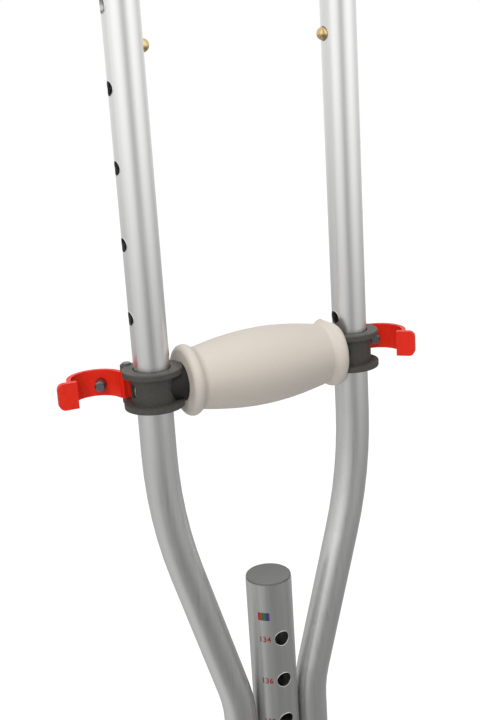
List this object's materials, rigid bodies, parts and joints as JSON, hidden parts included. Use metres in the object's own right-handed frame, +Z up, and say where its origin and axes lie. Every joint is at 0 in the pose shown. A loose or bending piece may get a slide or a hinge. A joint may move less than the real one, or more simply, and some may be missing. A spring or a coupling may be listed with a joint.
{
  "type": "underarm crutch",
  "caption": "Height-adjustable aluminium underarm crutch with a sliding hand grip locked by red swing clips, a telescoping padded rest and a rubber-tipped leg.",
  "frame": {"origin": "centre of the rubber tip's sole, where the crutch meets the floor", "axes": "+Z up along the leg, +X from the left upright to the right upright as seen from the front, +Y to the back, away from the side that shows the leg's row of holes"},
  "size_m": [0.1989, 0.0785, 1.3251],
  "materials": {
    "leg_aluminium": "satin anodised",
    "frame_aluminium": "satin anodised",
    "grey_plastic": "matt moulded",
    "dark_plastic": "matt moulded",
    "zinc_steel": "zinc plated",
    "spring_steel": "bright",
    "tip_rubber": "matt",
    "pad_foam": "matt foam rubber skin",
    "brass": "polished",
    "collar_plastic": "satin moulded",
    "clip_red": "glossy moulded",
    "core_plastic": "matt moulded",
    "grip_vinyl": "soft matt vinyl"
  },
  "bodies": {
    "frame": {"upright_right": "frame_aluminium", "upright_left": "frame_aluminium", "upright_bushing_right": "dark_plastic", "upright_bushing_left": "dark_plastic", "underarm_frame": "frame_aluminium", "underarm_frame_plug_right": "dark_plastic", "underarm_frame_plug_left": "dark_plastic", "underarm_pad": "pad_foam", "button_spring_right": "spring_steel", "button_spring_left": "spring_steel", "upper_bracket_front": "collar_plastic", "upper_bracket_back": "collar_plastic", "bracket_bolts": "zinc_steel", "bracket_nuts": "zinc_steel", "lower_bracket": "collar_plastic", "leg_hinge_pin": "zinc_steel"},
    "grip": {"grip_sleeve": "grip_vinyl", "grip_core_tube": "core_plastic", "grip_adapter_left": "core_plastic", "grip_adapter_right": "core_plastic", "collar_left": "collar_plastic", "collar_right": "collar_plastic", "grip_screws": "zinc_steel", "hinge_pin_left": "zinc_steel", "hinge_pin_right": "zinc_steel"},
    "clip_left": {"clip_left": "clip_red", "clip_pin_left": "zinc_steel"},
    "clip_right": {"clip_right": "clip_red", "clip_pin_right": "zinc_steel"},
    "leg": {"leg_tube": "leg_aluminium", "leg_plug": "grey_plastic", "tip_washer": "zinc_steel", "rubber_tip": "tip_rubber"},
    "leg_clip": {"leg_clip": "clip_red", "leg_clip_pin": "zinc_steel"},
    "button_left": {"snap_button_left": "brass"},
    "button_right": {"snap_button_right": "brass"}
  },
  "joints": [
    {"name": "grip_slide", "type": "slide", "parent": "frame", "child": "grip", "axis": [0, 0, 1], "range_m": [0, 0.108]},
    {"name": "left_clip_swing", "type": "hinge", "parent": "grip", "child": "clip_left", "pos_m": [-0.06475, 0.01383, 0.7655], "axis": [0, 0, 1], "range_deg": [0, 114]},
    {"name": "right_clip_swing", "type": "hinge", "parent": "grip", "child": "clip_right", "pos_m": [0.06475, 0.01383, 0.7655], "axis": [0, 0, -1], "range_deg": [-48, 66]},
    {"name": "leg_slide", "type": "slide", "parent": "frame", "child": "leg", "axis": [0, 0, 1], "range_m": [-0.1016, 0.0762]},
    {"name": "leg_clip_swing", "type": "hinge", "parent": "frame", "child": "leg_clip", "pos_m": [-0.01763, -0.01026, 0.2843], "axis": [0, 0, 1], "range_deg": [0, 90]},
    {"name": "left_button_press", "type": "slide", "parent": "frame", "child": "button_left", "axis": [-1, 0, 0], "range_m": [0, 0.0049], "stiffness_N_per_m": 800, "deforming": ["button_spring_left"]},
    {"name": "right_button_press", "type": "slide", "parent": "frame", "child": "button_right", "axis": [1, 0, 0], "range_m": [0, 0.0049], "stiffness_N_per_m": 800, "deforming": ["button_spring_right"]}
  ]
}
